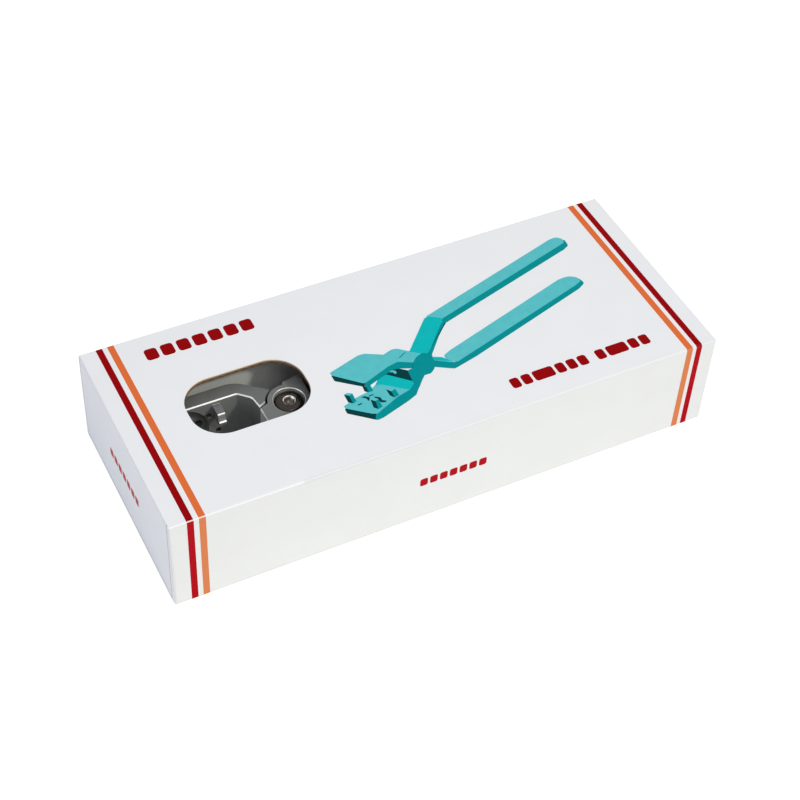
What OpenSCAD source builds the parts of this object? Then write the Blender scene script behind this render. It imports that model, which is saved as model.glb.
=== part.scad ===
// Boxed keyboard switch opener: a white windowed tuck-end carton, a layered foam
// insert and the pivoting plier-type tool that lies in it.
// Millimetres. +X runs along the carton, +Y to its back, +Z up from the table.

/* [Carton] */
// Length of the closed carton
carton_l = 220; // [212:1:260]
// Width of the carton, front to back
carton_w = 90; // [88:1:120]
// Height of the carton
carton_h = 43; // [41:1:60]
// Thickness of the corrugated board
board_t = 1.8; // [1.2:0.1:2.2]
// Outer radius of the four long folds
fold_r = 1.2; // [0.6:0.1:1.6]
// Outer radius of the end folds of the side panels
nose_r = 1.2; // [0.6:0.1:1.6]
// Outer radius of the fold between the top panel and an end flap
end_fold_r = 1; // [0.6:0.1:1.6]
// Radius of the crushed lower corners at both ends
foot_r = 2.4; // [1:0.1:4]
// Height of the glue tab inside the back panel
glue_tab_h = 15; // [8:1:25]

/* [Window] */
// Length of the display window
window_l = 45.5; // [30:0.5:60]
// Width of the display window
window_w = 28.2; // [27:0.2:36]
// Corner radius of the window
window_r = 12.2; // [5:0.1:13]
// Centre of the window, measured from the tool's pivot towards the jaws
window_shift = 15.1; // [8:0.1:20]
// Centre of the window, measured from the tool's pivot towards the back
window_back = 2.4; // [0:0.2:8]

/* [End flaps] */
// Length of the tuck tongue
tuck_l = 12; // [8:0.5:13]
// Angle at which the tucked tongue rises from the bottom
tuck_lean = 11; // [10:0.5:14]
// Corner radius of the tongue
tuck_r = 6; // [2:0.5:8]
// Narrowing of the tongue at each side
tuck_inset = 1.2; // [0.8:0.1:4]
// Gap between a flap and the board around it
flap_gap = 0.3; // [0.25:0.05:0.5]
// Reach of a dust flap from its side panel
dust_l = 34; // [20:1:38]
// Drop of a dust flap's edges from its fold to its free end
dust_taper = 4; // [0:0.5:8]

/* [Foam insert] */
// Gap between the foam and the board
foam_gap = 0.2; // [0.1:0.05:0.5]
// Gap between the foam and the tip of a tongue
tongue_gap = 1; // [0.8:0.1:3]
// Least gap between the tool and the walls of its pocket
pocket_gap = 2; // [1.5:0.1:3]
// Gap between the far jaw and the wall behind it
back_gap = 5.6; // [3:0.1:8]
// Angle that the handles can spread in the pocket
spread = 8; // [4:0.5:8]

/* [Tool] */
// Pivot axis, from the middle of the carton towards the left end
pivot_left = 46.5; // [44:0.5:50]
// Pivot axis, from the middle of the carton towards the front
pivot_front = 1.8; // [1:0.2:5]
// Depth of the tool's upper side under the carton's top
tool_drop = 6; // [4.5:0.1:8]
// Width of the jaws
jaw_w = 25; // [22:0.5:26]
// Distance from the pivot to the tips of the jaws
jaw_l = 41.5; // [38:0.5:43]
// Width of the handles
handle_w = 14; // [11:0.5:16]
// Thickness of the handle bars
bar_t = 6.9; // [5:0.1:8]
// Radius of the round boss at the pivot
boss_r = 7.9; // [7.8:0.1:9]
// Gap between the boss of one arm and the body of the other
boss_gap = 0.9; // [0.3:0.05:1]
// Gap between the two leaves at the pivot
leaf_gap = 0.2; // [0.15:0.05:0.4]
// Amount that the press arm is narrower than the prong arm at each side
side_clear = 0.3; // [0.25:0.05:0.6]

/* [Prong arm] */
// Distance of the prong jaw's inner face from the pivot
prong_jaw_y = 10.2; // [10:0.1:13]
// Thickness of the prong jaw
prong_jaw_t = 6.4; // [4.5:0.1:7]
// Distance of this arm's handle from the pivot
prong_bar_y = 21.4; // [19:0.1:22]
// Length of this arm's handle from the pivot
prong_bar_l = 121; // [100:1:125]
// Distance from the pivot to the nearer row of prongs
prong_row = 24.5; // [22:0.1:26]
// Distance between the two rows of prongs along the jaw
prong_pitch = 12.8; // [11:0.1:14]
// Distance between the ledges of the two prongs in a row
prong_span = 15.6; // [14:0.1:17]
// Width of a prong along the jaw
prong_w = 2.8; // [2:0.1:3.4]
// Height of a prong's outer step
prong_low_h = 5.5; // [4:0.1:6]
// Height of a prong's inner step
prong_high_h = 6.7; // [6.2:0.1:8.5]
// Radius of the round recess between the prongs
recess_r = 12; // [8:0.5:12]
// Depth of the recess
recess_h = 2.5; // [1:0.1:3.5]
// Diameter of the holes that clear a switch's two pins
pin_hole_d = 2.4; // [2:0.1:3]
// Diameter of the hole that clears a switch's centre post
post_hole_d = 4.2; // [4:0.1:6]

/* [Press arm] */
// Distance of the press plate's inner face from the pivot
press_jaw_y = 13; // [12:0.1:14]
// Thickness of the press plate
press_jaw_t = 4; // [3:0.1:5]
// Distance of this arm's handle from the pivot
press_bar_y = 11.2; // [10:0.1:13]
// Length of this arm's handle from the pivot
press_bar_l = 130; // [105:1:132]

/* [Pivot screw] */
// Diameter of the screw head
head_d = 10.6; // [9:0.1:11.5]
// Height of the screw head
head_h = 3.6; // [2.5:0.1:4]
// Depth of the head below the press arm's side
head_sunk = 0.3; // [0:0.1:1]
// Diameter of the smooth shoulder that the press arm turns on
shoulder_d = 7; // [5:0.1:7.5]
// Diameter of the threaded end
thread_d = 6; // [4:0.1:6.5]
// Length of thread held in the prong arm
thread_l = 10; // [6:0.5:11]
// Width across the flats of the hex socket
socket_af = 4; // [3:0.1:5]
// Depth of the hex socket
socket_h = 2.2; // [1:0.1:2.4]

/* [Hidden] */
$fn = 96;
over = 1;

inner_w = carton_w - 2 * board_t;
inner_top = carton_h - board_t;

// Tool heights, worked down from the carton's top
tool_top = carton_h - tool_drop;
tool_mid = tool_top - jaw_w / 2;
jaw_floor = tool_top - jaw_w;
handle_floor = tool_mid - handle_w / 2;
pivot = [-pivot_left, -pivot_front];

// End flap, in the plane of its section: x outwards along the carton, y up
flap_w = inner_w - 2 * flap_gap;
panel_x = carton_l / 2 - board_t;
mitre_gap = 0.04;
fold_mid = [panel_x, 2 * board_t + flap_gap / 2];
tongue_tip_x = panel_x - tuck_l * cos(tuck_lean) - board_t * sin(tuck_lean);

// Dust flaps lie just behind the closed end flap
dust_x = panel_x - flap_gap - board_t;
dust_low = fold_mid[1] + tuck_l * sin(tuck_lean) + flap_gap / 2;

// Foam insert: the base ends before the tongues, the sheets above before the dust flaps
base_l = 2 * (tongue_tip_x - tongue_gap);
foam_l = 2 * (dust_x - flap_gap);
foam_front = -inner_w / 2 + foam_gap;
foam_back = inner_w / 2 - board_t - foam_gap;
foam_bottom = board_t;
foam_roof = inner_top - foam_gap;

// End of the full-width handle roots, measured from the pivot
root_x = boss_r + 0.5;

// Pocket lines in the foam, measured from the pivot
head_left = -jaw_l - pocket_gap;
head_right = root_x + pocket_gap;
head_back = prong_jaw_y + prong_jaw_t + back_gap;
head_front = -(press_jaw_y + press_jaw_t + jaw_l * sin(spread) + pocket_gap);
tail_right = max(press_bar_l, prong_bar_l) + pocket_gap;
tail_back = press_bar_l * sin(spread) + (press_bar_y + bar_t) * cos(spread) + pocket_gap;
tail_front = -(prong_bar_y + bar_t + pocket_gap);

// Throat of the jaws and the sloping stop faces beside the boss
throat_x = -boss_r - 3.4;
throat_r = 3;
stop_y = 0.2;
stop_run = 3;
stop_rise = 1.4;
stop_gap = 0.7;

// Bends of the two arms: distance from the pivot and radius
jaw_bend = 15.2;
jaw_bend_r = 12;
press_bend = 11;
press_bend_r = 6;
bar_bend_r = 8;
press_bar_start = 17.4;
prong_bar_start = 21;
jaw_tip_r = 0.8;
jaw_corner_r = 2.5;

// Where the arms narrow to pass each other beside the boss
jaw_waist = 4.3;
arm_waist = [3.2, 7.6];

// Steps of a prong, and the holes in the jaw behind them
prong_step = 2.8;
prong_tip = 2;
prong_bevel = 0.5;
recess_end = 27.5;
pin_holes = [[-27.4, 5.6], [-23.9, -3.4]];

head_clear = 0.4;
rim_bevel = 0.4;
shoulder_clear = 0.05;
thread_grip = 0.05;

// Points of one rounded corner at b, between a and c
function corner(a, b, c, r) =
    let (u = (a - b) / norm(a - b), v = (c - b) / norm(c - b),
         half = acos(u * v) / 2,
         mid = b + (u + v) / norm(u + v) * r / sin(half),
         from = b + u * r / tan(half) - mid,
         turn = 180 - 2 * half,
         side = cross(b - a, c - b) > 0 ? 1 : -1,
         steps = ceil(turn / 8))
    [for (i = [0 : steps]) let (g = side * turn * i / steps)
        mid + [from[0] * cos(g) - from[1] * sin(g), from[0] * sin(g) + from[1] * cos(g)]];

// Outline through points [x, y, corner radius]
function outline(p) =
    let (n = len(p), at = function (i) [p[(i + n) % n][0], p[(i + n) % n][1]])
    [for (i = [0 : n - 1])
        each p[i][2] > 0 ? corner(at(i - 1), at(i), at(i + 1), p[i][2]) : [at(i)]];

// Extrudes a section whose x is Y and whose y is Z along X
module along_x(l) rotate([90, 0, 90]) linear_extrude(height = l, center = true) children();

// Extrudes a section whose x is X and whose y is Z along Y
module along_y(l) rotate([90, 0, 0]) linear_extrude(height = l, center = true) children();

// Rectangle about the origin with round corners
module round_rect(w, h, r) {
    square([w, h - 2 * r], center = true);
    square([w - 2 * r, h], center = true);
    for (x = [-1, 1], y = [-1, 1]) translate([x * (w / 2 - r), y * (h / 2 - r)]) circle(r);
}

// Side view of the carton: small fold radius above, crushed corners below
module end_section() {
    translate([-carton_l / 2, foot_r]) square([carton_l, carton_h - foot_r - end_fold_r]);
    translate([-carton_l / 2 + foot_r, 0]) square([carton_l - 2 * foot_r, carton_h]);
    for (s = [-1, 1]) {
        translate([s * (carton_l / 2 - foot_r), foot_r]) circle(foot_r);
        translate([s * (carton_l / 2 - end_fold_r), carton_h - end_fold_r]) circle(end_fold_r);
    }
    translate([-carton_l / 2 + end_fold_r, carton_h / 2])
        square([carton_l - 2 * end_fold_r, carton_h / 2]);
}

// Outer form of the closed carton with all its folds rounded
module carton_form() {
    intersection() {
        along_x(carton_l) translate([0, carton_h / 2]) round_rect(carton_w, carton_h, fold_r);
        linear_extrude(height = carton_h) round_rect(carton_l, carton_w, nose_r);
        along_y(carton_w) end_section();
    }
}

// One dust flap at the right end, folded in from the front panel
module dust_flap() {
    hinge_y = -inner_w / 2 - board_t / 2;
    free_y = -inner_w / 2 + dust_l;
    translate([dust_x + board_t / 2, 0, 0]) along_x(board_t) polygon(outline([
        [hinge_y, dust_low, 0],
        [-inner_w / 2 + board_t, dust_low, 0],
        [free_y, dust_low + dust_taper, 5],
        [free_y, inner_top - dust_taper, 5],
        [-inner_w / 2 + board_t, inner_top - flap_gap, 0],
        [hinge_y, inner_top - flap_gap, 0]]));
}

// Tab that joins the back panel to the bottom, on the inside
module glue_tab() {
    translate([0, inner_w / 2 - board_t / 2, 0]) along_y(board_t) polygon(outline([
        [-base_l / 2, board_t / 2, 0],
        [base_l / 2, board_t / 2, 0],
        [base_l / 2 - glue_tab_h / 3, board_t + glue_tab_h, 2],
        [-base_l / 2 + glue_tab_h / 3, board_t + glue_tab_h, 2]]));
}

module window_cut() {
    translate([pivot[0] - window_shift, pivot[1] + window_back, inner_top - over])
        linear_extrude(height = board_t + 2 * over) round_rect(window_l, window_w, window_r);
}

// Room at the right end of the top panel for the mitred end flap
module mitre_cut() {
    left = panel_x - mitre_gap;
    along_y(inner_w) polygon([
        [left, inner_top],
        [left + board_t + over, inner_top + board_t + over],
        [left + board_t + 2 * over, inner_top - over],
        [left, inner_top - over]]);
}

// Groove where the back panel's raw edge meets the bottom fold
module seam_cut() {
    groove = 0.5;
    translate([0, inner_w / 2, 0]) along_x(carton_l + over)
        polygon([[-groove, 0], [groove / 2, 0], [0, board_t / 2], [-groove, -over]]);
}

module carton_sleeve() {
    color("white") difference() {
        union() {
            difference() {
                carton_form();
                translate([-carton_l / 2 - over, -inner_w / 2, board_t])
                    cube([carton_l + 2 * over, inner_w, inner_top - board_t]);
            }
            for (s = [0, 1], t = [0, 1]) mirror([s, 0, 0]) mirror([0, t, 0]) dust_flap();
            glue_tab();
        }
        window_cut();
        for (s = [0, 1]) mirror([s, 0, 0]) mitre_cut();
        seam_cut();
    }
}

// Section of an end flap at the right end: panel, lower fold and tongue
module flap_section() {
    panel_end = carton_l / 2;
    along = [-cos(tuck_lean), sin(tuck_lean)];
    through = [-sin(tuck_lean), -cos(tuck_lean)];
    fold_arc = [for (g = [45 : -7.5 : 0])
        [panel_end, carton_h] + end_fold_r * [cos(g) - 1, sin(g) - 1]];
    lower_corner = fold_mid + board_t * [1, -(1 + sin(tuck_lean)) / cos(tuck_lean)];
    tongue_end = fold_mid + tuck_l * along;
    polygon(concat(
        [[panel_x, inner_top]],
        fold_arc,
        corner([panel_end, carton_h / 2], lower_corner, tongue_end + board_t * through, board_t),
        [tongue_end + board_t * through, tongue_end, fold_mid]));
}

// Plan of an end flap at the right end, with the tongue's round corners
module flap_plan() {
    translate([panel_x, -flap_w / 2]) square([board_t, flap_w]);
    translate([panel_x, 0])
        round_rect(2 * (panel_x - tongue_tip_x), flap_w - 2 * tuck_inset, tuck_r);
}

module end_flap() {
    intersection() {
        along_y(flap_w) flap_section();
        linear_extrude(height = carton_h) flap_plan();
    }
}

module right_end_flap() {
    color("white") end_flap();
}

module left_end_flap() {
    color("white") mirror([1, 0, 0]) end_flap();
}

// One sheet of the foam insert between two heights
module foam_sheet(l, low, high) {
    translate([-l / 2, foam_front, low]) cube([l, foam_back - foam_front, high - low]);
}

// Opening for the jaws and the boss
module head_pocket() {
    polygon(outline([
        [head_left, head_front, 3],
        [head_right, head_front, 3],
        [head_right, head_back, 3],
        [head_left, head_back, 3]]));
}

// Opening for the handles, with room for them to spread
module tail_pocket() {
    polygon(outline([
        [0, head_back, 0],
        [0, tail_front, 6],
        [tail_right, tail_front, 6],
        [tail_right, tail_back, 6],
        [head_right, head_back, 6]]));
}

module foam_base() {
    color("dimgray") foam_sheet(base_l, foam_bottom, jaw_floor);
}

module foam_middle() {
    color("dimgray") difference() {
        foam_sheet(foam_l, jaw_floor, handle_floor);
        translate([pivot[0], pivot[1], jaw_floor - over])
            linear_extrude(height = handle_floor - jaw_floor + 2 * over) head_pocket();
    }
}

module foam_top() {
    color("dimgray") difference() {
        foam_sheet(foam_l, handle_floor, foam_roof);
        translate([pivot[0], pivot[1], handle_floor - over])
            linear_extrude(height = foam_roof - handle_floor + 2 * over) {
                head_pocket();
                tail_pocket();
            }
    }
}

// Bar cut from a plan outline of the given width, with one round end at x = reach
module handle_bar(reach, w) {
    intersection() {
        translate([0, 0, -w / 2]) linear_extrude(height = w) children();
        along_y(4 * prong_bar_y) union() {
            translate([-jaw_l, -w / 2]) square([jaw_l + reach - w / 2, w]);
            translate([reach - w / 2, 0]) circle(w / 2);
        }
    }
}

// Jaw cut from a plan outline of the given width, with round corners at its tip
module jaw_plate(w) {
    intersection() {
        translate([0, 0, -w / 2]) linear_extrude(height = w) children();
        along_y(4 * prong_bar_y) round_rect(2 * jaw_l, w, jaw_corner_r);
    }
}

// Full-width part of a handle's root, cut from the handle's plan outline
module root_part() {
    intersection() {
        children();
        translate([-boss_r, -2 * boss_r]) square([boss_r + root_x, 4 * boss_r]);
    }
}

module prong_jaw_outline() {
    outer = prong_jaw_y + prong_jaw_t;
    polygon(outline([
        [-jaw_l, prong_jaw_y, 0],
        [-jaw_l, outer, jaw_tip_r],
        [-jaw_bend, outer, jaw_bend_r],
        [-jaw_waist, boss_r - 0.5, 0],
        [0, 0, 0],
        [throat_x + stop_run, stop_y + stop_rise + stop_gap, 0],
        [throat_x, stop_y + stop_gap, 0],
        [throat_x - throat_r / 4, prong_jaw_y - throat_r - 1, throat_r],
        [throat_x - throat_r - 2, prong_jaw_y, 2]]));
}

module prong_bar_outline() {
    outer = -prong_bar_y - bar_t;
    polygon(outline([
        [0, 0, 0],
        [-arm_waist[0], -arm_waist[1], 0],
        [prong_bar_start, outer, bar_bend_r],
        [prong_bar_l, outer, 0],
        [prong_bar_l, -prong_bar_y, 0],
        [prong_bar_start + bar_t, -prong_bar_y, bar_bend_r],
        [boss_r, -2, 0]]));
}

module press_jaw_outline() {
    outer = -press_jaw_y - press_jaw_t;
    polygon(outline([
        [-jaw_l, -press_jaw_y, 0],
        [-jaw_l, outer, jaw_tip_r],
        [-press_bend, outer, press_bend_r],
        [-arm_waist[0], -arm_waist[1], 0],
        [0, 0, 0],
        [throat_x + stop_run, stop_y + stop_rise, 0],
        [throat_x, stop_y, 0],
        [throat_x, -press_jaw_y, throat_r]]));
}

module press_bar_outline() {
    outer = press_bar_y + bar_t;
    polygon(outline([
        [0, 0, 0],
        [boss_r, -2, 0],
        [press_bar_start + bar_t / 2, press_bar_y, bar_bend_r],
        [press_bar_l, press_bar_y, 0],
        [press_bar_l, outer, 0],
        [press_bar_start, outer, bar_bend_r],
        [root_x, boss_r + 2.6, 4],
        [1.5, boss_r + 1.6, 0.5],
        [0.6, boss_r - 0.4, 0]]));
}

// One prong on the inner face, its long step towards the middle of the jaw
module prong() {
    ledge = prong_span / 2;
    root = min(prong_jaw_t - 1, recess_h + over);
    b = prong_bevel;
    translate([0, prong_jaw_y, ledge]) rotate([90, 0, 90])
        linear_extrude(height = prong_w, center = true) polygon([
            [root, -prong_tip],
            [-prong_high_h + b, -prong_tip],
            [-prong_high_h, -prong_tip + b],
            [-prong_high_h, -b],
            [-prong_high_h + b, 0],
            [-prong_low_h, 0],
            [-prong_low_h, prong_step - b],
            [-prong_low_h + b, prong_step],
            [root, prong_step]]);
}

// Bore through the jaw at a place on its inner face
module jaw_hole(x, z, d) {
    translate([x, prong_jaw_y - over, z]) rotate([-90, 0, 0])
        cylinder(d = d, h = prong_jaw_t + 2 * over);
}

// Round recess in the jaw's inner face, open at the tip
module jaw_recess() {
    translate([-recess_end - recess_r, prong_jaw_y - over, 0]) rotate([-90, 0, 0])
        cylinder(r = recess_r, h = recess_h + over);
}

module prong_arm() {
    color("darkgray") translate([pivot[0], pivot[1], tool_mid]) difference() {
        union() {
            difference() {
                jaw_plate(jaw_w) prong_jaw_outline();
                jaw_recess();
            }
            handle_bar(prong_bar_l, handle_w) prong_bar_outline();
            translate([0, 0, -jaw_w / 2]) linear_extrude(height = jaw_w / 2 - leaf_gap / 2) {
                circle(boss_r);
                root_part() prong_bar_outline();
            }
            for (row = [0, 1], s = [0, 1])
                mirror([0, 0, s]) translate([-prong_row - row * prong_pitch, 0, 0]) prong();
        }
        translate([0, 0, -leaf_gap / 2]) cylinder(r = boss_r + boss_gap, h = jaw_w);
        translate([0, 0, -leaf_gap / 2 - thread_l]) cylinder(d = thread_d, h = jaw_w);
        jaw_hole(-prong_row - prong_pitch / 2, 0, post_hole_d);
        for (at = pin_holes) jaw_hole(at[0], at[1], pin_hole_d);
    }
}

module press_arm() {
    w = jaw_w - 2 * side_clear;
    rim_d = head_d + 2 * head_clear;
    color("darkgray") translate([pivot[0], pivot[1], tool_mid]) difference() {
        union() {
            jaw_plate(w) press_jaw_outline();
            handle_bar(press_bar_l, handle_w - 2 * side_clear) press_bar_outline();
            translate([0, 0, leaf_gap / 2]) linear_extrude(height = w / 2 - leaf_gap / 2) {
                circle(boss_r);
                root_part() press_bar_outline();
            }
        }
        translate([0, 0, leaf_gap / 2 - jaw_w]) cylinder(r = boss_r + boss_gap, h = jaw_w);
        cylinder(d = shoulder_d + 2 * shoulder_clear, h = jaw_w);
        translate([0, 0, w / 2 - head_h - head_sunk - shoulder_clear])
            cylinder(d = rim_d, h = jaw_w);
        translate([0, 0, w / 2 - rim_bevel])
            cylinder(d1 = rim_d, d2 = rim_d + 4 * rim_bevel, h = 2 * rim_bevel);
    }
}

// Button-head screw: it turns with the prong arm, and the press arm turns on it
module pivot_screw() {
    head_top = tool_top - side_clear - head_sunk;
    head_low = head_top - head_h;
    seat = tool_mid - leaf_gap / 2;
    crown = 1;
    color("gray") translate([pivot[0], pivot[1], 0]) difference() {
        rotate_extrude() polygon([
            [0, seat - thread_l + 0.4], [thread_d / 2 + thread_grip - 0.6, seat - thread_l + 0.4],
            [thread_d / 2 + thread_grip, seat - thread_l + 1], [thread_d / 2 + thread_grip, seat],
            [shoulder_d / 2, seat], [shoulder_d / 2, head_low], [head_d / 2, head_low],
            [head_d / 2, head_top - crown], [head_d / 2 - 0.35, head_top - 0.35],
            [head_d / 2 - crown, head_top], [0, head_top]]);
        translate([0, 0, head_top - socket_h])
            cylinder(d = socket_af / cos(30), h = socket_h + over, $fn = 6);
    }
}

carton_sleeve();
left_end_flap();
right_end_flap();
foam_base();
foam_middle();
foam_top();
prong_arm();
press_arm();
pivot_screw();
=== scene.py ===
"""Finish of the boxed keyboard switch opener: board, print, foam and satin metal."""
import math

import bmesh
import bpy
from mathutils import Matrix, Vector


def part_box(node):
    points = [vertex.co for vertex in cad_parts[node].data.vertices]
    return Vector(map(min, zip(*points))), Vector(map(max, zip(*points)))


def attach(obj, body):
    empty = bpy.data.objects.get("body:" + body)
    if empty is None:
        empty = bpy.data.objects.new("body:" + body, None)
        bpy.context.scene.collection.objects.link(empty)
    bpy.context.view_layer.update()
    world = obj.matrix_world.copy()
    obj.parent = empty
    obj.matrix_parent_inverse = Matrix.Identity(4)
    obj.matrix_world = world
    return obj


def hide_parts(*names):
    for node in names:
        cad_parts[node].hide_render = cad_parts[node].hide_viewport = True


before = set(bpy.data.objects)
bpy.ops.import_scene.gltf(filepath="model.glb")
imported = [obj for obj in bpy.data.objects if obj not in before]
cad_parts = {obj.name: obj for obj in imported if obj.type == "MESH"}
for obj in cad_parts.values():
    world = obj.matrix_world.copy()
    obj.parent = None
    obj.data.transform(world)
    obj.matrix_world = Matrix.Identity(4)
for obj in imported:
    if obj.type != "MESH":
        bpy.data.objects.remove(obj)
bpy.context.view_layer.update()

MM = 0.001

# Carton, in millimetres, worked out from the frame
LOW, HIGH = [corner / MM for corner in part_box("carton_sleeve")]
CARTON_L = HIGH.x - LOW.x
CARTON_W = HIGH.y - LOW.y
CARTON_H = HIGH.z
# The foam stops this far under the top panel
FOAM_GAP = 0.2
BOARD_T = CARTON_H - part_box("foam_top")[1].z / MM - FOAM_GAP
FOLD_R = 1.2
FLUTE_PITCH = 3.2
# At the window's cut edge, the depths where the pale liner ends and where the painted shade begins
EDGE_LINER = (0.55, 0.45)
EDGE_SHADE = (1.25, 1.55)

# Where the window in the top panel is looked for: its middle and half its size, with room
WINDOW_AT = (-61.8, 1)
WINDOW_REACH = (24, 15)

# Pivot screw, and the arms round it
SCREW_LOW, SCREW_HIGH = [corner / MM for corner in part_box("pivot_screw")]
PIVOT = (SCREW_LOW + SCREW_HIGH) / 2
HEAD_R = (SCREW_HIGH.x - SCREW_LOW.x) / 2
SOCKET_R = 2.35
# The socket's wall goes from a painted highlight at its top to painted shade between these depths
SOCKET_SHADE = (0.5, 1.0)
TURNING_PITCH = 0.28
# Width of the inner half of the chamfer round the head, which gets painted shade
RIM_PAINTED_SHADE = 0.55
# The narrow gap between the jaw and the boss, as distances from the pivot
BOSS_GAP = (7.5, 8.9)
ARM_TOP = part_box("press_arm")[1].z / MM

# Chamfers that are left to the look of the pieces
ARM_TOP_BEVEL = 0.4
ARM_BEVEL = 0.3
FLAP_BEVEL = 0.2
SCREW_BEVEL = 0.12

# Printed stripes, as ranges along the carton
STRIPE_RED = [(-103.3, -100.8), (100.7, 103.2)]
STRIPE_ORANGE = [(-98.9, -96.4), (96.5, 99.1)]
# The ink is cracked along the front fold: where that ends, and half the crack's width
CRACK_END = -60
CRACK_HALF = 0.35

# Ink plates. The board's look is sunk a little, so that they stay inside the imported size
BOARD_SUNK = 0.06
INK_DEPTH = 0.2
INK_STEP = 0.006
ARC_STEP_DEG = 12

# Printed rows of plain keys, each from one corner to the other on its panel
TOP_LEFT_ROW = (-87.7, 31.4, -43.9, 37.2)
TOP_RIGHT_ROW = (27.6, -35.9, 87.5, -30.9)
FRONT_ROW = (-14.1, 18.2, 14.1, 22.0)
LEFT_END_ROW = (-15, 19.6, 14.5, 23.6)
# Gap and space as shares of a key's width, corner radius as a share of its height
KEY_GAP = 0.22
KEY_SPACE = 0.6
KEY_CORNER = 0.22

# Tolerances: a point on the outside of the carton, points to merge and faces to join
ON_OUTSIDE = 0.01
MERGE = 0.0005
FLAT_DEG = 0.5
# Edges that turn more than this can be chamfered
SHARP_DEG = 50
# Edges that turn less than this are shaded smooth
SMOOTH_DEG = 28
SCREW_SMOOTH_DEG = 70

# Camera of the photograph
CAMERA_AIM = (-0.00289, -0.00596, 0.0215)
CAMERA_AZIMUTH = -28.97
CAMERA_ELEVATION = 46.49
CAMERA_ROLL = 3.4
CAMERA_DISTANCE = 0.671
CAMERA_FOCAL_PX = 1785.3
PHOTO_SIZE_PX = 800
SENSOR_MM = 36

# Studio
ROOM_COLOR = (0.945, 0.96, 1.0, 1)
ROOM_STRENGTH = 0.56
FLOOR_HALF = 4
FLOOR_DROP_MM = 0.02
FLOOR_COLOR = (0.83, 0.83, 0.76, 1)
FLOOR_GLOW = 0.62

# Colours of the coated board and of the inks; on the side panels the inks are lighter, as a
# painted sheen
WHITE = (0.83, 0.84, 0.855)
RED = (0.29, 0.0006, 0.002)
RED_SIDE_SHEEN = (0.44, 0.0015, 0.009)
ORANGE = (0.735, 0.157, 0.042)
ORANGE_SIDE_SHEEN = (0.72, 0.226, 0.092)
TEAL_LIGHT = (0.105, 0.53, 0.57)
TEAL = (0.004, 0.48, 0.49)
TEAL_SIDE = (0.0006, 0.275, 0.295)
TEAL_DARK = (0.0005, 0.045, 0.048)


# Camera, lights and background

def direction(azimuth, elevation):
    """Unit vector from the object towards a place round it."""
    a, e = math.radians(azimuth), math.radians(elevation)
    return Vector((math.sin(a) * math.cos(e), -math.cos(a) * math.cos(e), math.sin(e)))


def make_camera():
    """The camera that looks down on the carton from the left front."""
    data = bpy.data.cameras.new("camera")
    data.sensor_width = SENSOR_MM
    data.lens = CAMERA_FOCAL_PX * SENSOR_MM / PHOTO_SIZE_PX
    data.clip_start, data.clip_end = 0.01, 20
    camera = bpy.data.objects.new("camera", data)
    back = direction(CAMERA_AZIMUTH, CAMERA_ELEVATION)
    turn = (-back).to_track_quat("-Z", "Y").to_matrix().to_4x4()
    roll = Matrix.Rotation(math.radians(CAMERA_ROLL), 4, "Z")
    place = Matrix.Translation(Vector(CAMERA_AIM) + back * CAMERA_DISTANCE)
    camera.matrix_world = place @ turn @ roll
    bpy.context.scene.collection.objects.link(camera)
    bpy.context.scene.camera = camera


def area_light(name, azimuth, elevation, distance, size, power, color=(1, 1, 1)):
    """A round lamp that shines at the object from a place round it."""
    data = bpy.data.lights.new(name, "AREA")
    data.shape = "DISK"
    data.size = size
    data.energy = power
    data.color = color
    lamp = bpy.data.objects.new(name, data)
    away = direction(azimuth, elevation)
    lamp.matrix_world = (Matrix.Translation(away * distance)
                         @ away.to_track_quat("Z", "Y").to_matrix().to_4x4())
    bpy.context.scene.collection.objects.link(lamp)


def camera_and_gloss(nodes, links):
    """A factor that is 1 for camera, glossy and transmission rays."""
    path = nodes.new("ShaderNodeLightPath")
    total = path.outputs["Is Camera Ray"]
    for ray in ("Is Glossy Ray", "Is Transmission Ray"):
        add = nodes.new("ShaderNodeMath")
        add.operation = "MAXIMUM"
        links.new(total, add.inputs[0])
        links.new(path.outputs[ray], add.inputs[1])
        total = add.outputs[0]
    return total


def make_world():
    """A pale room for the light, and white for the camera and for reflections."""
    world = bpy.data.worlds.new("studio")
    world.use_nodes = True
    nodes, links = world.node_tree.nodes, world.node_tree.links
    nodes.clear()
    room = nodes.new("ShaderNodeBackground")
    room.inputs["Color"].default_value = ROOM_COLOR
    room.inputs["Strength"].default_value = ROOM_STRENGTH
    white = nodes.new("ShaderNodeBackground")
    white.inputs["Color"].default_value = (1, 1, 1, 1)
    mix = nodes.new("ShaderNodeMixShader")
    links.new(camera_and_gloss(nodes, links), mix.inputs[0])
    links.new(room.outputs[0], mix.inputs[1])
    links.new(white.outputs[0], mix.inputs[2])
    links.new(mix.outputs[0], nodes.new("ShaderNodeOutputWorld").inputs["Surface"])
    bpy.context.scene.world = world


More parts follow.
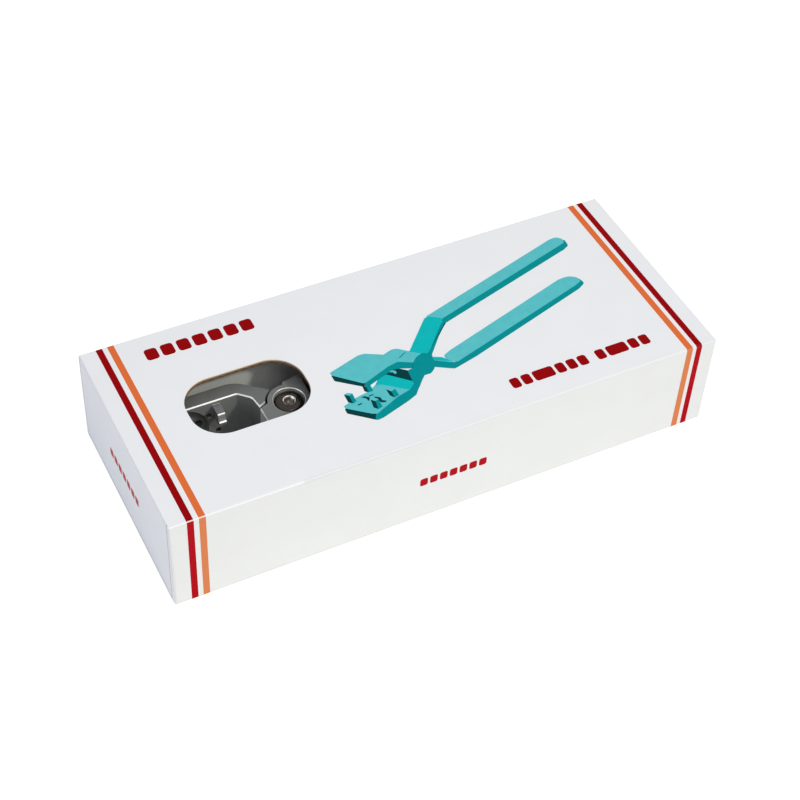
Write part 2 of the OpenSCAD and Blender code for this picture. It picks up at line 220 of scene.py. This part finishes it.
def make_floor():
    """A matt floor just under the carton, lifted to white for the camera."""
    mesh = bpy.data.meshes.new("floor")
    half = FLOOR_HALF
    mesh.from_pydata([(-half, -half, 0), (half, -half, 0), (half, half, 0), (-half, half, 0)],
                     [], [(0, 1, 2, 3)])
    floor = bpy.data.objects.new("floor", mesh)
    floor.location.z = -FLOOR_DROP_MM * MM
    bpy.context.scene.collection.objects.link(floor)
    material = bpy.data.materials.new("floor")
    material.use_nodes = True
    nodes, links = material.node_tree.nodes, material.node_tree.links
    nodes.clear()
    matt = nodes.new("ShaderNodeBsdfDiffuse")
    matt.inputs["Color"].default_value = FLOOR_COLOR
    glow = nodes.new("ShaderNodeEmission")
    lift = nodes.new("ShaderNodeMath")
    lift.operation = "MULTIPLY"
    lift.inputs[1].default_value = FLOOR_GLOW
    links.new(camera_and_gloss(nodes, links), lift.inputs[0])
    links.new(lift.outputs[0], glow.inputs["Strength"])
    add = nodes.new("ShaderNodeAddShader")
    links.new(matt.outputs[0], add.inputs[0])
    links.new(glow.outputs[0], add.inputs[1])
    links.new(add.outputs[0], nodes.new("ShaderNodeOutputMaterial").inputs["Surface"])
    mesh.materials.append(material)


# Materials

class Nodes:
    """Short calls for building one material's node tree."""

    def __init__(self, name):
        self.material = bpy.data.materials.new(name)
        self.material.use_nodes = True
        self.tree = self.material.node_tree
        self.shader = self.tree.nodes["Principled BSDF"]
        self.place = self.tree.nodes.new("ShaderNodeTexCoord").outputs["Object"]

    def link(self, source, target):
        """Sets a socket to a number or a colour, or joins it to another socket."""
        if isinstance(source, (int, float)):
            target.default_value = source
        elif isinstance(source, tuple):
            target.default_value = (*source, 1)
        else:
            self.tree.links.new(source, target)

    def math(self, operation, a, b=0.0):
        node = self.tree.nodes.new("ShaderNodeMath")
        node.operation = operation
        self.link(a, node.inputs[0])
        self.link(b, node.inputs[1])
        return node.outputs[0]

    def axis(self, name):
        """Place along one axis, in millimetres."""
        node = self.tree.nodes.new("ShaderNodeSeparateXYZ")
        self.link(self.place, node.inputs[0])
        return self.math("MULTIPLY", node.outputs[name], 1 / MM)

    def radius(self):
        """Distance from the axis of the pivot screw, in millimetres."""
        dx = self.math("SUBTRACT", self.axis("X"), PIVOT.x)
        dy = self.math("SUBTRACT", self.axis("Y"), PIVOT.y)
        return self.math("SQRT", self.math("ADD", self.math("MULTIPLY", dx, dx),
                                           self.math("MULTIPLY", dy, dy)))

    def noise(self, size_mm, detail, stretch=(1, 1, 1)):
        """Soft noise from 0 to 1, with spots of about the given size."""
        spread = self.tree.nodes.new("ShaderNodeMapping")
        spread.inputs["Scale"].default_value = stretch
        self.link(self.place, spread.inputs["Vector"])
        node = self.tree.nodes.new("ShaderNodeTexNoise")
        node.inputs["Scale"].default_value = 1 / (size_mm * MM)
        node.inputs["Detail"].default_value = detail
        self.link(spread.outputs[0], node.inputs["Vector"])
        return node.outputs["Fac"]

    def mix(self, factor, a, b):
        """Colour a where the factor is 0, b where it is 1."""
        node = self.tree.nodes.new("ShaderNodeMix")
        node.data_type = "RGBA"
        self.link(factor, node.inputs["Factor"])
        self.link(a, node.inputs[6])
        self.link(b, node.inputs[7])
        return node.outputs[2]

    def ramp(self, value, low, high):
        """0 below low, 1 above high."""
        node = self.tree.nodes.new("ShaderNodeMapRange")
        self.link(value, node.inputs["Value"])
        node.inputs["From Min"].default_value = low
        node.inputs["From Max"].default_value = high
        return node.outputs["Result"]

    def inside(self, value, low, high):
        """1 where a value lies between two limits."""
        return self.math("MULTIPLY", self.math("GREATER_THAN", value, low),
                         self.math("LESS_THAN", value, high))

    def any_of(self, masks):
        """1 where at least one mask is 1."""
        total = masks[0]
        for mask in masks[1:]:
            total = self.math("MAXIMUM", total, mask)
        return total

    def wave(self, value, pitch):
        """A sine wave of the given pitch."""
        return self.math("SINE", self.math("MULTIPLY", value, 2 * math.pi / pitch))

    def finish(self, color, roughness, height=None, bump=0.1, distance_mm=0.1, **sockets):
        """Sets the shader's sockets and the bump, and gives the material back."""
        self.link(color, self.shader.inputs["Base Color"])
        self.link(roughness, self.shader.inputs["Roughness"])
        for name, value in sockets.items():
            self.shader.inputs[name.replace("_", " ")].default_value = value
        if height is not None:
            node = self.tree.nodes.new("ShaderNodeBump")
            node.inputs["Strength"].default_value = bump
            node.inputs["Distance"].default_value = distance_mm * MM
            self.link(height, node.inputs["Height"])
            self.tree.links.new(node.outputs[0], self.shader.inputs["Normal"])
        return self.material


def stripes_on(n, paper):
    """The red and orange stripes over the colour of the paper, lighter on the sides as a painted
    sheen.
    """
    x = n.axis("X")
    red = n.any_of([n.inside(x, a, b) for a, b in STRIPE_RED])
    orange = n.any_of([n.inside(x, a, b) for a, b in STRIPE_ORANGE])
    off_middle = n.math("ABSOLUTE", n.axis("Y"))
    # Painted sheen: on the front and back panels the stripes take lighter inks
    side = n.math("GREATER_THAN", off_middle, CARTON_W / 2 - FOLD_R / 3)
    color = n.mix(red, paper, n.mix(side, RED, RED_SIDE_SHEEN))
    return n.mix(orange, color, n.mix(side, ORANGE, ORANGE_SIDE_SHEEN))


def fold_on(n, color):
    """The front fold: a pale crack near the left end, and painted shade that darkens the rest of
    the fold a little.
    """
    x = n.axis("X")
    front = n.math("SUBTRACT", n.math("MULTIPLY", n.axis("Y"), -1), CARTON_W / 2 - FOLD_R)
    top = n.math("SUBTRACT", n.axis("Z"), CARTON_H - FOLD_R)
    both = n.math("MULTIPLY", n.math("GREATER_THAN", front, 0.05),
                  n.math("GREATER_THAN", top, 0.05))
    off_line = n.math("ABSOLUTE", n.math("SUBTRACT", front, top))
    crack = n.math("MULTIPLY", both, n.math("LESS_THAN", off_line, CRACK_HALF))
    crack = n.math("MULTIPLY", crack, n.math("LESS_THAN", x, CRACK_END))
    color = n.mix(n.math("MULTIPLY", crack, 0.75), color, (0.93, 0.9, 0.88))
    # Painted shade: the fold beyond the crack is darkened a little
    fold_painted_shade = n.math("MULTIPLY", both, n.math("GREATER_THAN", x, CRACK_END))
    return n.mix(n.math("MULTIPLY", fold_painted_shade, 0.08), color, (0.1, 0.1, 0.1))


def board_white(name, stripes):
    """Coated white liner, smooth, with a trace of the fluting under it."""
    n = Nodes(name)
    color = n.mix(n.ramp(n.noise(14, 3), 0.35, 0.7), WHITE, tuple(0.985 * c for c in WHITE))
    if stripes:
        color = fold_on(n, stripes_on(n, color))
    flute = n.wave(n.axis("X"), FLUTE_PITCH)
    height = n.math("ADD", n.math("MULTIPLY", flute, 0.15), n.noise(0.6, 4))
    return n.finish(color, 0.5, height, bump=0.06, distance_mm=0.03, Specular_IOR_Level=0.03)


def board_kraft():
    """Brown liner on the inside of the board, with short fibres."""
    n = Nodes("board_kraft")
    fibres = n.noise(0.5, 5, stretch=(1, 6, 6))
    color = n.mix(n.ramp(fibres, 0.3, 0.7), (0.30, 0.19, 0.10), (0.43, 0.29, 0.17))
    # The white liner reaches round the cut ends of the sleeve
    end = n.math("GREATER_THAN", n.math("ABSOLUTE", n.axis("X")), CARTON_L / 2 - BOARD_T + 0.1)
    color = n.mix(end, color, WHITE)
    return n.finish(color, 0.85, fibres, bump=0.25, distance_mm=0.08, Specular_IOR_Level=0.2)


def board_cut():
    """Cut edge of an end flap, grey-brown and rough."""
    n = Nodes("board_cut")
    fibres = n.noise(0.4, 5)
    return n.finish(n.mix(fibres, (0.2, 0.15, 0.11), (0.42, 0.34, 0.27)), 0.9, fibres, bump=0.3,
                    distance_mm=0.08, Specular_IOR_Level=0.1)


def board_edge():
    """Cut edge of the board at the window: a pale liner lightened as painted light, the fluted
    core with painted shade in its hollows, and painted shade at the foot.
    """
    n = Nodes("board_edge")
    depth = n.math("SUBTRACT", CARTON_H, n.axis("Z"))
    wave = n.wave(n.math("ADD", n.axis("X"), n.axis("Y")), FLUTE_PITCH)
    middle = n.math("ADD", BOARD_T / 2, n.math("MULTIPLY", wave, BOARD_T * 0.22))
    off_core = n.math("ABSOLUTE", n.math("SUBTRACT", depth, middle))
    # Painted shade in the hollows between the flutes; the flute itself keeps the brown of the
    # paper
    core = n.ramp(off_core, 0.12, 0.45)
    fibres = n.noise(0.35, 5)
    bare = n.mix(core, (0.42, 0.26, 0.13), (0.16, 0.085, 0.04))
    brown = n.mix(n.ramp(fibres, 0.2, 0.8), bare, (0.30, 0.18, 0.09))
    # Painted shade darkens the foot of the edge
    shaded = n.mix(n.ramp(depth, *EDGE_SHADE), brown, (0.1, 0.055, 0.03))
    # The liner's cream is lighter than the board's white, as painted light
    liner = n.ramp(depth, *EDGE_LINER)
    color = n.mix(liner, shaded, (1, 0.88, 0.66))
    return n.finish(color, 0.9, fibres, bump=0.4, distance_mm=0.12, Specular_IOR_Level=0.15)


def foam():
    """Closed-cell foam, finely pitted."""
    n = Nodes("foam")
    cells = n.tree.nodes.new("ShaderNodeTexVoronoi")
    cells.inputs["Scale"].default_value = 1 / (0.45 * MM)
    n.link(n.place, cells.inputs["Vector"])
    color = n.mix(n.noise(5, 3), (0.58, 0.585, 0.565), (0.66, 0.665, 0.645))
    return n.finish(color, 0.9, cells.outputs["Distance"], bump=0.35, distance_mm=0.12,
                    Specular_IOR_Level=0.2)


def satin_metal(name, shade):
    """Fine satin finish on cast metal; shade makes a lighter or darker copy of it, as painted
    light or painted shade.
    """
    n = Nodes(name)
    speck = n.noise(0.25, 3)
    low = tuple(shade * c for c in (0.15, 0.155, 0.153))
    high = tuple(shade * c for c in (0.175, 0.18, 0.178))
    color = n.mix(n.ramp(n.noise(9, 3), 0.3, 0.7), low, high)
    roughness = n.math("ADD", 0.38, n.math("MULTIPLY", n.noise(4, 4), 0.12))
    return n.finish(color, roughness, speck, bump=0.12, distance_mm=0.03, Metallic=0.1,
                    Specular_IOR_Level=0.3)


def bare_edge_highlight():
    """Bare metal where the chamfers are ground, made light as a painted highlight."""
    n = Nodes("bare_edge_highlight")
    bare = n.mix(n.noise(2, 3), (0.7, 0.7, 0.66), (0.82, 0.82, 0.78))
    # Of the chamfer round the screw's head the inner half gets painted shade; only the outer half
    # keeps the bare metal with its painted highlight
    inner_half = n.inside(n.radius(), HEAD_R, HEAD_R + RIM_PAINTED_SHADE)
    return n.finish(n.mix(inner_half, bare, (0.09, 0.09, 0.09)), 0.3, Metallic=0.4)


def dark_steel():
    """Blackened steel with the rings that turning leaves; the socket's wall has a painted
    highlight at its top and painted shade deeper down.
    """
    n = Nodes("dark_steel")
    radius = n.radius()
    rings = n.wave(radius, TURNING_PITCH)
    socket = n.math("LESS_THAN", radius, SOCKET_R)
    blackened = n.mix(n.noise(1.5, 3), (0.036, 0.03, 0.027), (0.06, 0.05, 0.044))
    # Painted highlight at the top of the socket's wall, painted shade deeper in
    depth = n.math("SUBTRACT", SCREW_HIGH.z, n.axis("Z"))
    wall = n.mix(n.ramp(depth, *SOCKET_SHADE), (0.8, 0.76, 0.7), (0.1, 0.09, 0.08))
    color = n.mix(socket, blackened, wall)
    return n.finish(color, 0.27, rings, bump=0.08, distance_mm=0.03, Metallic=0.9)


def ink(name, color):
    """Printed ink on coated paper."""
    n = Nodes(name)
    low = tuple(0.93 * c for c in color)
    return n.finish(n.mix(n.ramp(n.noise(3, 3), 0.3, 0.7), color, low), 0.4, n.noise(0.6, 4),
                    bump=0.05, distance_mm=0.02, Specular_IOR_Level=0.03)


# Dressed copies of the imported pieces

def sink_outside(bm, depth_mm):
    """Moves the carton's side, end and top faces inwards."""
    for vert in bm.verts:
        for i, far in enumerate((CARTON_L / 2, CARTON_W / 2)):
            if abs(vert.co[i]) > (far - ON_OUTSIDE) * MM:
                vert.co[i] -= math.copysign(depth_mm * MM, vert.co[i])
        if vert.co.z > (CARTON_H - ON_OUTSIDE) * MM:
            vert.co.z -= depth_mm * MM


def dress(node, body, materials, choose=None, bevels=(), sink_mm=0.0, smooth_to=SMOOTH_DEG):
    """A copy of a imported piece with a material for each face; bevels get the last one."""
    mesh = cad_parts[node].data.copy()
    mesh.name = node + "_look"
    piece = bpy.data.objects.new(node + "_look", mesh)
    bpy.context.scene.collection.objects.link(piece)
    mesh.materials.clear()
    for material in materials:
        mesh.materials.append(material)
    bm = bmesh.new()
    bm.from_mesh(mesh)
    bmesh.ops.remove_doubles(bm, verts=bm.verts, dist=MERGE * MM)
    bmesh.ops.dissolve_limit(bm, angle_limit=math.radians(FLAT_DEG), verts=bm.verts,
                             edges=bm.edges)
    for face in bm.faces:
        face.smooth = True
        face.material_index = choose(face) if choose else 0
    if sink_mm:
        sink_outside(bm, sink_mm)
    for offset, wanted in bevels:
        sharp = [e for e in bm.edges if e.is_manifold
                 and e.calc_face_angle() > math.radians(SHARP_DEG) and wanted(e)]
        bmesh.ops.bevel(bm, geom=sharp, offset=offset * MM, segments=1, profile=0.5,
                        affect="EDGES", clamp_overlap=wanted is not upper_edge,
                        material=len(materials) - 1)
    bm.to_mesh(mesh)
    bm.free()
    mesh.set_sharp_from_angle(angle=math.radians(smooth_to))
    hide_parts(node)
    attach(piece, body)
    return piece


def rim_edge(edge):
    """Edges round the top of the screw's head and its socket."""
    return min(vert.co.z for vert in edge.verts) > (SCREW_HIGH.z - 0.5) * MM


def off_pivot(point):
    """Distance of a point from the axis of the pivot screw, in millimetres."""
    return math.hypot(point.x / MM - PIVOT.x, point.y / MM - PIVOT.y)


def open_edge(edge):
    """Edges of an arm apart from the narrow gap between the jaw and the boss."""
    return not all(BOSS_GAP[0] < off_pivot(vert.co) < BOSS_GAP[1] for vert in edge.verts)


def upper_edge(edge):
    """Open edges round the upper side of an arm of the tool."""
    upper = min(vert.co.z for vert in edge.verts) > (ARM_TOP - 0.05) * MM
    return upper and open_edge(edge)


def cut_edge(edge):
    """Upright outer edges of an end flap, where the board is cut."""
    side = any(abs(face.normal.y) > 0.9 for face in edge.link_faces)
    return side and min(abs(vert.co.x) for vert in edge.verts) > (CARTON_L / 2 - 0.2) * MM


def find_window():
    """Lowest and highest corner of the window in the top panel, in millimetres."""
    near = [vert.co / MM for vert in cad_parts["carton_sleeve"].data.vertices
            if abs(vert.co.x / MM - WINDOW_AT[0]) < WINDOW_REACH[0]
            and abs(vert.co.y / MM - WINDOW_AT[1]) < WINDOW_REACH[1]
            and vert.co.z / MM > CARTON_H - BOARD_T - FOLD_R]
    return [Vector([pick(place[i] for place in near) + spare for i in range(3)])
            for pick, spare in ((min, -0.1), (max, 0.1))]


WINDOW_LOW, WINDOW_HIGH = find_window()


def sleeve_material(face):
    """0 outside with stripes, 1 brown inside, 2 cut edge at the window."""
    at, normal = face.calc_center_median() / MM, face.normal
    by_window = (WINDOW_LOW.x < at.x < WINDOW_HIGH.x
                 and WINDOW_LOW.y < at.y < WINDOW_HIGH.y)
    if by_window and at.z > CARTON_H - BOARD_T - 0.1 and abs(normal.z) < 0.5:
        return 2
    gaps = (CARTON_L / 2 - abs(at.x), CARTON_W / 2 - abs(at.y), min(at.z, CARTON_H - at.z))
    facing = max(abs(c) for c in normal)
    outside = min(gaps) < (0.05 if facing > 0.999 else 0.8)
    return 0 if outside else 1


def flap_material(face):
    """0 outside, 1 brown inside, 2 cut edge."""
    at, normal = face.calc_center_median() / MM, face.normal
    outward = normal.x * (1 if at.x > 0 else -1)
    if abs(normal.y) > 0.5:
        return 2
    return 0 if outward > 0.2 or normal.z < -0.5 else 1


def tool_material(face):
    """0 satin, 1 lighter satin on the sides as painted light, 2 bare bevels with a painted
    highlight at the screw's head and the prongs.
    """
    rim = off_pivot(face.calc_center_median()) < 1.2 * HEAD_R and 0.3 < face.normal.z < 0.95
    prong = abs(face.normal.y) > 0.3 and abs(face.normal.z) > 0.3 and abs(face.normal.x) < 0.1
    if rim or prong:
        return 2
    return 0 if face.normal.z > 0.5 else 1


def dress_all():
    """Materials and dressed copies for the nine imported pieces."""
    white = board_white("board_white", stripes=True)
    plain = board_white("board_plain", stripes=False)
    kraft = board_kraft()
    # The prong arm's satin is a darker copy as painted shade, the sides' satin a lighter copy as
    # painted light
    jaw, boss = satin_metal("satin_jaw_painted_shade", 0.82), satin_metal("satin_boss", 1)
    side = satin_metal("satin_side_painted_light", 1.42)
    edge = bare_edge_highlight()
    cut = board_cut()
    grey = foam()
    arm_bevels = [(ARM_TOP_BEVEL, upper_edge), (ARM_BEVEL, open_edge)]
    flap_bevels = [(FLAP_BEVEL, cut_edge)]
    dress("carton_sleeve", "root", [white, kraft, board_edge()], sleeve_material,
                  sink_mm=BOARD_SUNK)
    dress("left_end_flap", "left_flap", [plain, kraft, cut], flap_material, flap_bevels,
                  BOARD_SUNK)
    dress("right_end_flap", "right_flap", [plain, kraft, cut], flap_material, flap_bevels,
                  BOARD_SUNK)
    for node in ("foam_base", "foam_middle", "foam_top"):
        dress(node, "root", [grey])
    dress("prong_arm", "root", [jaw, side, edge], tool_material, arm_bevels)
    dress("press_arm", "press_arm", [boss, side, edge], tool_material, arm_bevels)
    dress("pivot_screw", "root", [dark_steel(), edge], bevels=[(SCREW_BEVEL, rim_edge)],
                  smooth_to=SCREW_SMOOTH_DEG)


# Print on the carton

def corner(a, b, c, r):
    """Points of a rounded corner at b."""
    u, v = (a - b).normalized(), (c - b).normalized()
    half = u.angle(v) / 2
    mid = b + (u + v).normalized() * r / math.sin(half)
    start = b + u * r / math.tan(half) - mid
    turn = math.pi - 2 * half
    side = 1 if (b - a).cross(c - b) > 0 else -1
    steps = max(2, math.ceil(turn / math.radians(ARC_STEP_DEG)))
    points = []
    for i in range(steps + 1):
        g = side * turn * i / steps
        points.append(mid + Vector((start.x * math.cos(g) - start.y * math.sin(g),
                                    start.x * math.sin(g) + start.y * math.cos(g))))
    return points


def outline(points):
    """Outline through (x, y) or (x, y, corner radius) points, in millimetres."""
    result = []
    for i, p in enumerate(points):
        here = Vector(p[:2])
        if len(p) > 2:
            before = Vector(points[i - 1][:2])
            after = Vector(points[(i + 1) % len(points)][:2])
            result += corner(before, here, after, p[2])
        else:
            result.append(here)
    return result


def panel_frame(panel):
    """Matrix that puts the XY plane, in millimetres, on an outer panel of the carton."""
    x, y, z, origin = {
        "top": ((1, 0, 0), (0, 1, 0), (0, 0, 1), (0, 0, CARTON_H)),
        "front": ((1, 0, 0), (0, 0, 1), (0, -1, 0), (0, -CARTON_W / 2, 0)),
        "left": ((0, -1, 0), (0, 0, 1), (-1, 0, 0), (-CARTON_L / 2, 0, 0)),
    }[panel]
    rows = Matrix((x, y, z)).transposed().to_4x4()
    return Matrix.Scale(MM, 4) @ Matrix.Translation(Vector(origin)) @ rows


def printed(name, shapes, panel, material, body="root", layer=0):
    """Fields of ink: closed plates whose tops stand a hair above the board."""
    mesh = bpy.data.meshes.new(name)
    bm = bmesh.new()
    top = (layer + 1) * INK_STEP - BOARD_SUNK
    for shape in shapes:
        points = outline(shape)
        base = [bm.verts.new((p.x, p.y, -INK_DEPTH)) for p in points]
        face = bm.faces.new(base)
        face.normal_update()
        if face.normal.z > 0:
            face.normal_flip()
        grown = bmesh.ops.extrude_face_region(bm, geom=[face], use_keep_orig=True)
        for vert in grown["geom"]:
            if isinstance(vert, bmesh.types.BMVert):
                vert.co.z = top
    bmesh.ops.recalc_face_normals(bm, faces=bm.faces)
    bmesh.ops.transform(bm, matrix=panel_frame(panel), verts=bm.verts)
    bm.to_mesh(mesh)
    bm.free()
    mesh.materials.append(material)
    piece = bpy.data.objects.new(name, mesh)
    bpy.context.scene.collection.objects.link(piece)
    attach(piece, body)


def key_row(x0, y0, x1, y1, sizes):
    """A row of rounded keys between two corners; sizes are widths, 0 is a space."""
    unit = (x1 - x0) / (sum(sizes) + KEY_SPACE * sizes.count(0))
    r = KEY_CORNER * (y1 - y0)
    keys, x = [], x0
    for size in sizes:
        if size:
            a, b = x, x + unit * (size - KEY_GAP)
            keys.append([(a, y0, r), (b, y0, r), (b, y1, r), (a, y1, r)])
        x += unit * (size or KEY_SPACE)
    return keys


# Outlines of the printed picture, in millimetres from the middle of the top panel. UPPER and
# LOWER are the handles, PLATE is the press plate, HUB the boss, and THROAT, GAP and WALL lie
# in the opening between the jaws

UPPER_TOP = [(14.9, 10.8, 0.8), (79.7, 30, 6), (82.9, 30.3, 2.2), (85.2, 28.2, 1.8),
             (84.3, 26.1, 0.8), (19, 7, 2.5), (15.8, 9.6, 1)]
UPPER_SIDE = [(20.3, 4.7, 1), (82.2, 22.5, 2), (85.1, 23.9, 1.4), (85.5, 27.4, 1), (83.4, 28.4),
              (18.9, 7.5)]
LOWER_TOP = [(11, -10.6, 1.5), (15.6, -8.6), (71.7, 8.4, 5), (75.8, 8.6, 4), (79.2, 6.5, 2.5),
             (79, 4.1, 1.2), (75.8, 2.8), (14.9, -15.2, 1.5)]
LOWER_SIDE = [(6.3, -10.2), (14.2, -14.9), (77.4, 3.6), (79.1, 6.4, 0.4), (80, 2.6, 1.5),
              (76.3, 0.6, 2), (22.8, -15.5), (12.7, -17.9, 2), (4.8, -13.2)]
ROOT_TOP = [(7.1, -8.6), (11, -10.6, 1), (14.6, -15), (6.3, -10.2)]
UPPER_NECK = [(14.7, 10.6, 2), (16.8, 10.3), (21, 7.5, 1), (15.3, 1.5), (8.7, -5.6), (6.4, -7.1),
              (5.3, -6.2), (1.3, -3.2)]
NECK_SIDE = [(21.2, 7.7, 1), (20.7, 5, 1), (15, -0.5), (8.3, -8), (7.6, -10.8), (3.4, -8.9),
             (5.8, -7.2), (8.2, -5.7), (14.7, 1.5)]
HUMP = [(-8.4, -0.8), (-4.3, 0.5, 3), (-2.2, 0.2, 3), (1.3, -2.9), (5, -6), (2, -8.4), (0.1, -8.1),
        (-4.4, -5.3)]
HUMP_LINE = [(-0.4, -2.8), (-0.1, -3.1), (-3.2, -4.7), (-3.6, -4.4)]
JAW_TOP = [(-30.1, -1.2, 0.6), (-16.8, 2.8, 3), (-14.2, 2.6, 3), (-8.3, -0.6, 2), (-4, -5.3),
           (0.6, -8), (0.1, -8.8), (-4.9, -6.1, 2.5), (-9.2, -6.9, 3), (-20.9, -11.2, 1.5),
           (-29.9, -2.7, 0.6)]
JAW_SIDE = [(-20.7, -10.8), (-9.1, -6.6, 2), (-4.7, -5.8, 2), (0.4, -8.4), (-1.5, -11.4),
            (-6.2, -9.4, 2), (-8.6, -9.1, 2), (-19.7, -12.9, 1), (-21.3, -12.8, 0.3)]
JAW_FRONT = [(-30.1, -1.5, 0.3), (-29.7, -2.5), (-21.5, -10.3), (-20.6, -10.8),
             (-21.4, -12.8, 0.5), (-30.2, -5.6, 1)]
THROAT = [(-13.2, -10.1), (-11, -9.3), (-6.7, -8.9), (-3.5, -11.6), (-4.3, -17.2), (-6.6, -15.1),
          (-11.5, -10.4)]
GAP = [(-10.8, -9.4), (-9, -9), (-7.7, -10), (-7.7, -11.1), (-8.6, -11.4), (-9, -10.2)]
WALL = [(-15.6, -11.4), (-11.8, -10.1), (-6.5, -14.9), (-4.1, -17.1), (-4.9, -18.9), (-7.1, -20.6),
        (-8.5, -19.7), (-15.7, -13.9, 2), (-17.8, -13.6)]
PLATE_TOP = [(-32.8, -18.4, 0.6), (-26.4, -16.2), (-21.1, -15.3), (-17.6, -13.4),
             (-15.4, -13.6, 2), (-6.9, -20.5), (-12.8, -22), (-20.6, -25.4, 2), (-23, -26.5, 1),
             (-24.8, -25.7, 0.6), (-32.2, -19.6, 0.5)]
PLATE_FRONT = [(-32.7, -18.4, 0.5), (-32.1, -19.4), (-24.6, -25.5), (-23.2, -26.2), (-24.6, -29.1),
               (-25.9, -28, 0.6), (-32.9, -22, 1)]
PLATE_SIDE = [(-23.4, -26.1), (-20.5, -25.1, 1.5), (-12.6, -21.8), (-6.9, -20.4), (-4.5, -18.4),
              (-2.4, -19.4), (-3.8, -21.2, 2), (-6.1, -23.8, 2), (-10, -25.4), (-22, -29.1, 2),
              (-24.1, -29.3, 0.4), (-24.9, -28.7)]
HUB = [(-1.6, -11.4), (0.1, -8.7, 1), (2.4, -6.8, 1.5), (5.9, -5.4, 2), (7.8, -8.3, 2),
       (7.6, -11.7, 3), (5.9, -14.8, 3), (3.6, -16.4, 1.5), (1, -16.3, 0.8), (-0.8, -18.1, 1),
       (-3.7, -21.2, 2), (-6.7, -22.3), (-4.6, -18.4), (-4.3, -17), (-3.6, -11.5, 1)]
DARK_PRONGS = [[(-30, -13.1), (-28.5, -14.4), (-28.8, -18.4), (-30.2, -17.2)],
               [(-22.1, -11.7), (-21, -12.9), (-21.3, -15.7), (-22.5, -14.7)],
               [(-22.3, -19.3), (-21, -20.7), (-21.8, -24.6), (-23, -23.2)],
               [(-15, -16.9), (-13.6, -18.7), (-14, -21.9), (-15.1, -20.2)]]
LIT_PRONGS = [[(-28.5, -14.4), (-27, -13.9), (-27.3, -17.9), (-28.8, -18.4)],
              [(-21, -12.9), (-19.2, -12.5), (-19.5, -15.7), (-21.3, -15.7)],
              [(-21, -20.7), (-19.6, -20.1), (-19.9, -24.1), (-21.8, -24.6)],
              [(-13.6, -18.7), (-11.9, -18), (-11.9, -21.4), (-14, -21.9)]]
PRONG_TOPS = [[(-30, -13.1), (-28.7, -12.8), (-26.9, -13.8), (-28.5, -14.4)],
              [(-22.3, -19.3), (-21.1, -18.7), (-19.6, -20.1), (-21, -20.7)]]
OPENINGS = [[(-25, -16.8), (-23.6, -16.8), (-22, -18.2), (-23.2, -19.7), (-23.5, -18.1)],
            [(-22, -17.2), (-20, -17.2), (-20.3, -17.6), (-22.1, -17.7)],
            [(-20.7, -18.3), (-18.6, -19.6), (-18.5, -21.2), (-17.2, -22.1), (-17.9, -22.6),
             (-19.4, -22.1)],
            [(-27.7, -19.6), (-25.7, -19.4), (-26.2, -20), (-27.6, -20.1)]]


def print_picture():
    """The tool as flat fields of ink, a list of them for each layer from the lowest up."""
    light, bright = ink("ink_teal_light", TEAL_LIGHT), ink("ink_teal", TEAL)
    side, dark = ink("ink_teal_side", TEAL_SIDE), ink("ink_teal_dark", TEAL_DARK)
    layers = [
        [("upper_side", side, [UPPER_SIDE]),
         ("lower_side", side, [LOWER_SIDE]),
         ("plate_front", dark, [PLATE_FRONT])],
        [("upper_handle", light, [UPPER_TOP]),
         ("plate_side", side, [PLATE_SIDE])],
        [("lower_handle", light, [LOWER_TOP]),
         ("neck_side", side, [NECK_SIDE]),
         ("plate_top", light, [PLATE_TOP])],
        [("root_top", bright, [ROOT_TOP]),
         ("wall", bright, [WALL]),
         ("openings", dark, OPENINGS)],
        [("hump", light, [HUMP]),
         ("throat", dark, [THROAT]),
         ("prongs_dark", dark, DARK_PRONGS)],
        [("upper_neck", bright, [UPPER_NECK]),
         ("gap", light, [GAP]),
         ("prongs_lit", side, LIT_PRONGS)],
        [("hub", side, [HUB]),
         ("jaw_side", side, [JAW_SIDE]),
         ("prong_tops", light, PRONG_TOPS)],
        [("jaw_front", dark, [JAW_FRONT]),
         ("hump_line", side, [HUMP_LINE])],
        [("jaw_top", light, [JAW_TOP])],
    ]
    for layer, fields in enumerate(layers):
        for name, material, shapes in fields:
            printed("print_" + name, shapes, "top", material, layer=layer)


def print_marks():
    """Rows of plain keys on the top, the front and the left end flap."""
    # The lighter red on the front and on the end flap is a painted sheen
    top_ink, side_sheen_ink = ink("ink_red", RED), ink("ink_red_side_sheen", RED_SIDE_SHEEN)
    right_row = key_row(*TOP_RIGHT_ROW, [1, 1, 2, 1, 1, 1, 0, 1, 2, 1, 1])
    rows = [("top", "root", top_ink, key_row(*TOP_LEFT_ROW, [1] * 7) + right_row),
            ("front", "root", side_sheen_ink, key_row(*FRONT_ROW, [1] * 7)),
            ("left", "left_flap", side_sheen_ink, key_row(*LEFT_END_ROW, [1] * 7))]
    for panel, body, material, keys in rows:
        printed("print_keys_" + panel, keys, panel, material, body=body)


bpy.context.scene.view_settings.view_transform = "Standard"

make_camera()
make_world()
make_floor()
area_light("key", azimuth=45, elevation=42, distance=2.4, size=0.28, power=25,
           color=(1, 0.98, 0.9))
area_light("near", azimuth=-5, elevation=60, distance=0.5, size=0.2, power=0.36)
area_light("fill", azimuth=-90, elevation=12, distance=1, size=0.8, power=2.3,
           color=(0.69, 0.74, 1))
dress_all()
print_picture()
print_marks()
